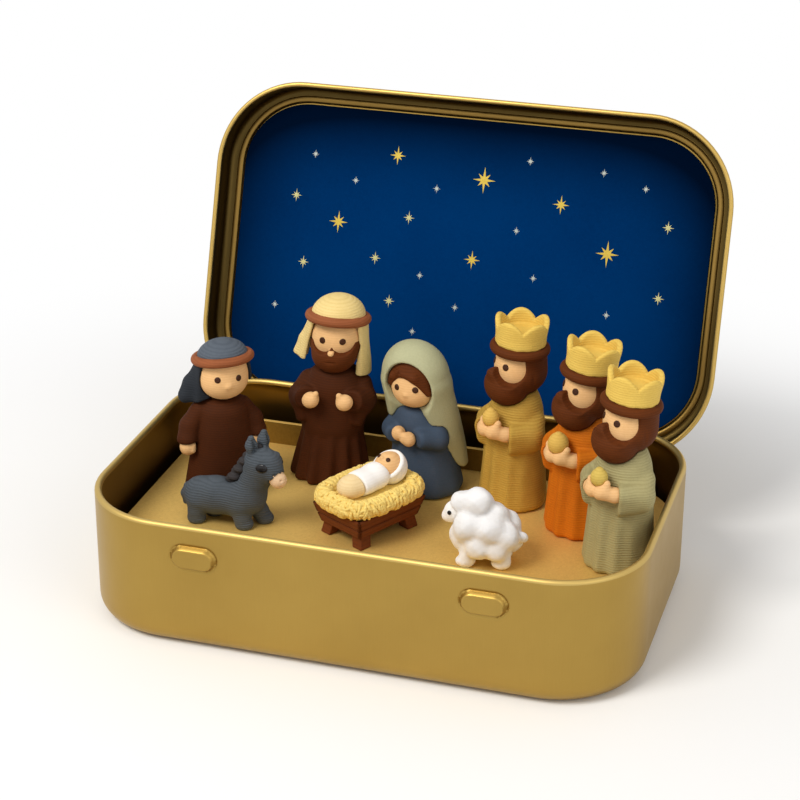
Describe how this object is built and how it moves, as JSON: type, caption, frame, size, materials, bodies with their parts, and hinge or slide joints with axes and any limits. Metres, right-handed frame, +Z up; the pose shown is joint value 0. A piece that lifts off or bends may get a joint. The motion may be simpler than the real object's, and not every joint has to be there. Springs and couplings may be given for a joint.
{
  "type": "pocket nativity tin",
  "caption": "Hinged gold pocket tin opened as a stage: starry card in the lid, raised gold card floor, and loose standing nativity figures with animals and a manger.",
  "frame": {"origin": "centre of the tin's flat underside", "axes": "+X along the tin's width to the kings' side, -Y to the open front, +Z up"},
  "size_m": [0.0958, 0.0838, 0.0733],
  "materials": {
    "gold_tin": "satin gold lacquer over tinplate",
    "navy_card": "matte printed card",
    "gold_card": "metallic-faced card",
    "skin": "matte, fine layer lines",
    "brown_cloth": "matte, fine layer lines",
    "slate": "matte, fine layer lines",
    "rope": "matte",
    "cream": "matte, fine layer lines",
    "hair": "matte, fine layer lines",
    "sage": "matte, fine layer lines",
    "blue_gown": "matte, fine layer lines",
    "wood_brown": "matte",
    "straw": "matte",
    "white": "matte",
    "donkey_grey": "matte, fine layer lines",
    "dark_grey": "matte",
    "muzzle": "matte",
    "crown_gold": "matte, fine layer lines",
    "gift_gold": "matte",
    "mustard": "matte, fine layer lines",
    "orange": "matte, fine layer lines",
    "sage_robe": "matte, fine layer lines"
  },
  "bodies": {
    "tin": {"tin_base": "gold_tin", "floor_card": "gold_card"},
    "lid": {"tin_lid": "gold_tin", "sky_card": "navy_card"},
    "shepherd": {"shepherd_robe": "brown_cloth", "shepherd_head": "skin", "shepherd_cap": "slate", "shepherd_scarf": "slate", "shepherd_band": "rope", "shepherd_hand_left": "skin", "shepherd_hand_right": "skin"},
    "father": {"father_robe": "brown_cloth", "father_head": "skin", "father_beard": "hair", "father_cap": "cream", "father_scarf": "cream", "father_band": "rope", "father_hand_left": "skin", "father_hand_right": "skin"},
    "mother": {"mother_gown": "blue_gown", "mother_head": "skin", "mother_hair": "hair", "mother_veil": "sage", "mother_hands": "skin"},
    "manger": {"manger_crate": "wood_brown", "manger_straw": "straw", "infant_swaddle": "white", "infant_foot_wrap": "cream", "infant_head": "skin", "infant_bonnet": "white"},
    "donkey": {"donkey_body": "donkey_grey", "donkey_muzzle": "muzzle", "donkey_mane": "dark_grey"},
    "sheep": {"sheep_fleece": "white", "sheep_face": "white"},
    "king_one": {"king_one_robe": "mustard", "king_one_head": "skin", "king_one_beard": "hair", "king_one_band": "hair", "king_one_crown": "crown_gold", "king_one_gift": "gift_gold", "king_one_hands": "skin"},
    "king_two": {"king_two_robe": "orange", "king_two_head": "skin", "king_two_beard": "hair", "king_two_band": "hair", "king_two_crown": "crown_gold", "king_two_gift": "gift_gold", "king_two_hands": "skin"},
    "king_three": {"king_three_robe": "sage_robe", "king_three_head": "skin", "king_three_beard": "hair", "king_three_band": "hair", "king_three_crown": "crown_gold", "king_three_gift": "gift_gold", "king_three_hands": "skin"}
  },
  "joints": [
    {"name": "lid_hinge", "type": "hinge", "parent": "tin", "child": "lid", "pos_m": [0, 0.02935, 0.01685], "axis": [-1, 0, 0], "range_deg": [-40, 0]},
    {"name": "shepherd_lift", "type": "slide", "parent": "tin", "child": "shepherd", "axis": [0, 0, 1], "range_m": [0, 0.03]},
    {"name": "father_lift", "type": "slide", "parent": "tin", "child": "father", "axis": [0, 0, 1], "range_m": [0, 0.03]},
    {"name": "mother_lift", "type": "slide", "parent": "tin", "child": "mother", "axis": [0, 0, 1], "range_m": [0, 0.03]},
    {"name": "manger_lift", "type": "slide", "parent": "tin", "child": "manger", "axis": [0, 0, 1], "range_m": [0, 0.03]},
    {"name": "donkey_lift", "type": "slide", "parent": "tin", "child": "donkey", "axis": [0, 0, 1], "range_m": [0, 0.03]},
    {"name": "sheep_lift", "type": "slide", "parent": "tin", "child": "sheep", "axis": [0, 0, 1], "range_m": [0, 0.03]},
    {"name": "king_one_lift", "type": "slide", "parent": "tin", "child": "king_one", "axis": [0, 0, 1], "range_m": [0, 0.03]},
    {"name": "king_two_lift", "type": "slide", "parent": "tin", "child": "king_two", "axis": [0, 0, 1], "range_m": [0, 0.03]},
    {"name": "king_three_lift", "type": "slide", "parent": "tin", "child": "king_three", "axis": [0, 0, 1], "range_m": [0, 0.03]}
  ]
}
